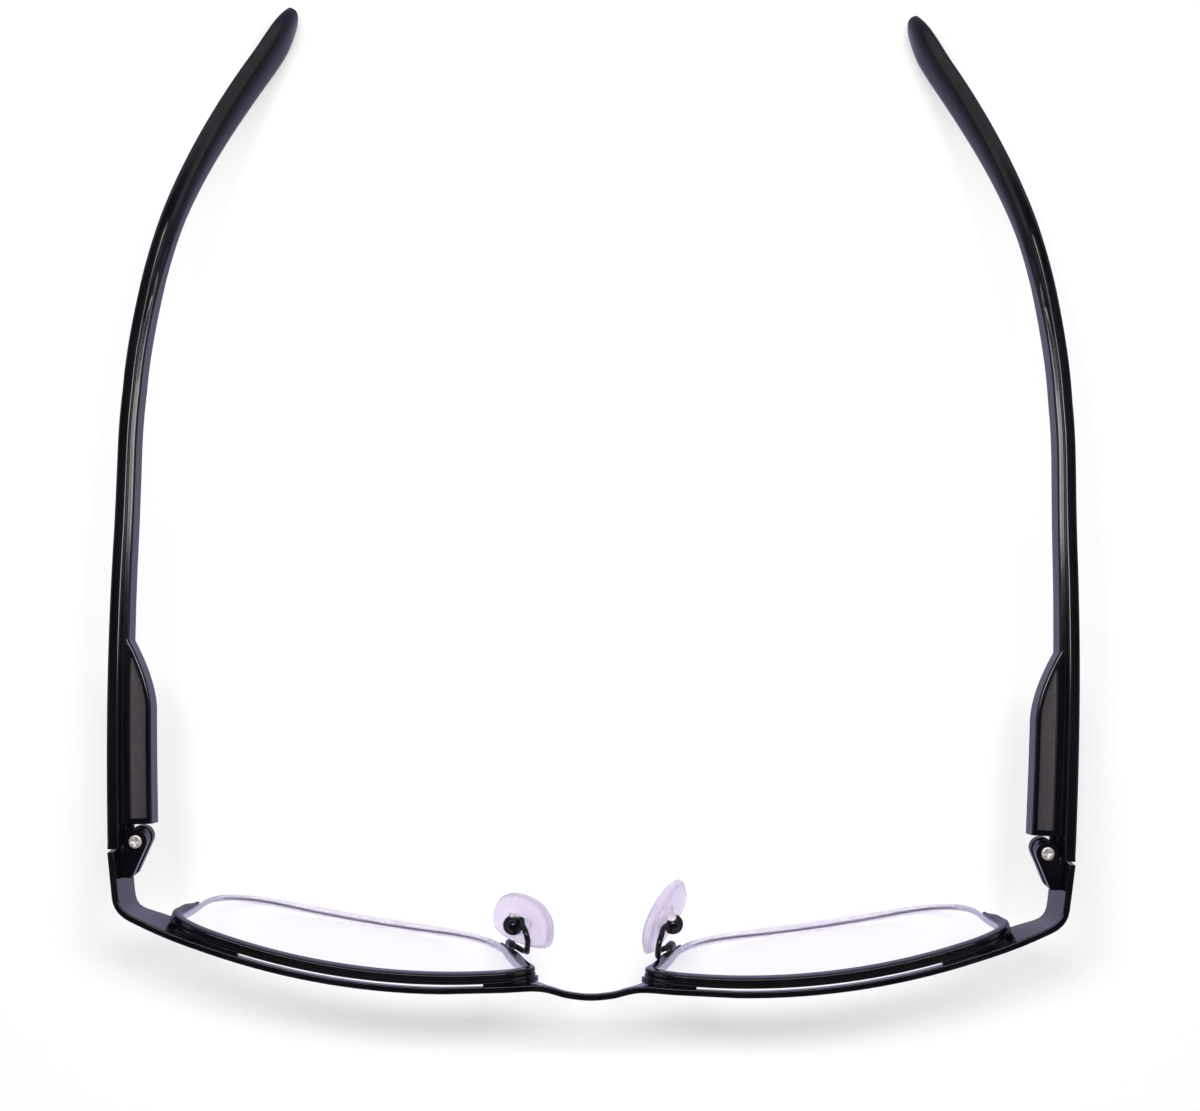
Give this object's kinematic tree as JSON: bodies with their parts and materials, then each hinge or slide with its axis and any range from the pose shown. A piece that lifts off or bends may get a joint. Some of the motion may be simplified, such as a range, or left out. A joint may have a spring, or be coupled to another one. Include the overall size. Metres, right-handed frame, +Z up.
{
  "type": "square reading glasses",
  "caption": "Square half-rim reading glasses with a black brow plate, plastic temples on screwed hinges and clear nose pads.",
  "frame": {"origin": "middle of the footprint, on the plane that the lower lens edges and the temple tips stand on", "axes": "+X to the wearer's left, +Y back along the temples, +Z up"},
  "size_m": [0.1458, 0.156, 0.0366],
  "materials": {
    "enamel": "gloss black enamel",
    "temple_plastic": "polished black plastic",
    "lens_plastic": "clear, lightly coated, polished",
    "nylon": "clear nylon",
    "screw_steel": "bright turned steel",
    "pad_silicone": "clear satin silicone",
    "pad_core_plastic": "clear hard plastic insert"
  },
  "bodies": {
    "front": {"brow_plate": "enamel", "rim_right": "enamel", "rim_liner_right": "nylon", "lens_right": "lens_plastic", "nylon_cord_right": "nylon", "nasal_braze_right": "enamel", "outer_braze_right": "enamel", "front_hinge_leaf_right": "enamel", "hinge_screw_right": "screw_steel", "pad_arm_right": "enamel", "pad_box_right": "enamel", "pad_screw_right": "screw_steel", "rim_left": "enamel", "rim_liner_left": "nylon", "lens_left": "lens_plastic", "nylon_cord_left": "nylon", "nasal_braze_left": "enamel", "outer_braze_left": "enamel", "front_hinge_leaf_left": "enamel", "hinge_screw_left": "screw_steel", "pad_arm_left": "enamel", "pad_box_left": "enamel", "pad_screw_left": "screw_steel"},
    "right_temple": {"temple_right": "temple_plastic", "temple_hinge_leaf_right": "enamel"},
    "right_pad": {"nose_pad_right": "pad_silicone", "pad_core_right": "pad_core_plastic"},
    "left_temple": {"temple_left": "temple_plastic", "temple_hinge_leaf_left": "enamel"},
    "left_pad": {"nose_pad_left": "pad_silicone", "pad_core_left": "pad_core_plastic"}
  },
  "joints": [
    {"name": "right_temple_fold", "type": "hinge", "parent": "front", "child": "right_temple", "pos_m": [-0.06835, -0.05493, 0.03023], "axis": [0, 0.0345, -0.9994], "range_deg": [0, 86]},
    {"name": "left_temple_fold", "type": "hinge", "parent": "front", "child": "left_temple", "pos_m": [0.06835, -0.05493, 0.03023], "axis": [0, -0.0345, 0.9994], "range_deg": [0, 82]},
    {"name": "right_pad_rock", "type": "hinge", "parent": "front", "child": "right_pad", "pos_m": [-0.01217, -0.06943, 0.01855], "axis": [0.0828, 0.9946, 0.0631], "range_deg": [-5, 5]},
    {"name": "left_pad_rock", "type": "hinge", "parent": "front", "child": "left_pad", "pos_m": [0.01288, -0.06893, 0.01857], "axis": [-0.1578, 0.7755, 0.6113], "range_deg": [-5, 5]}
  ]
}
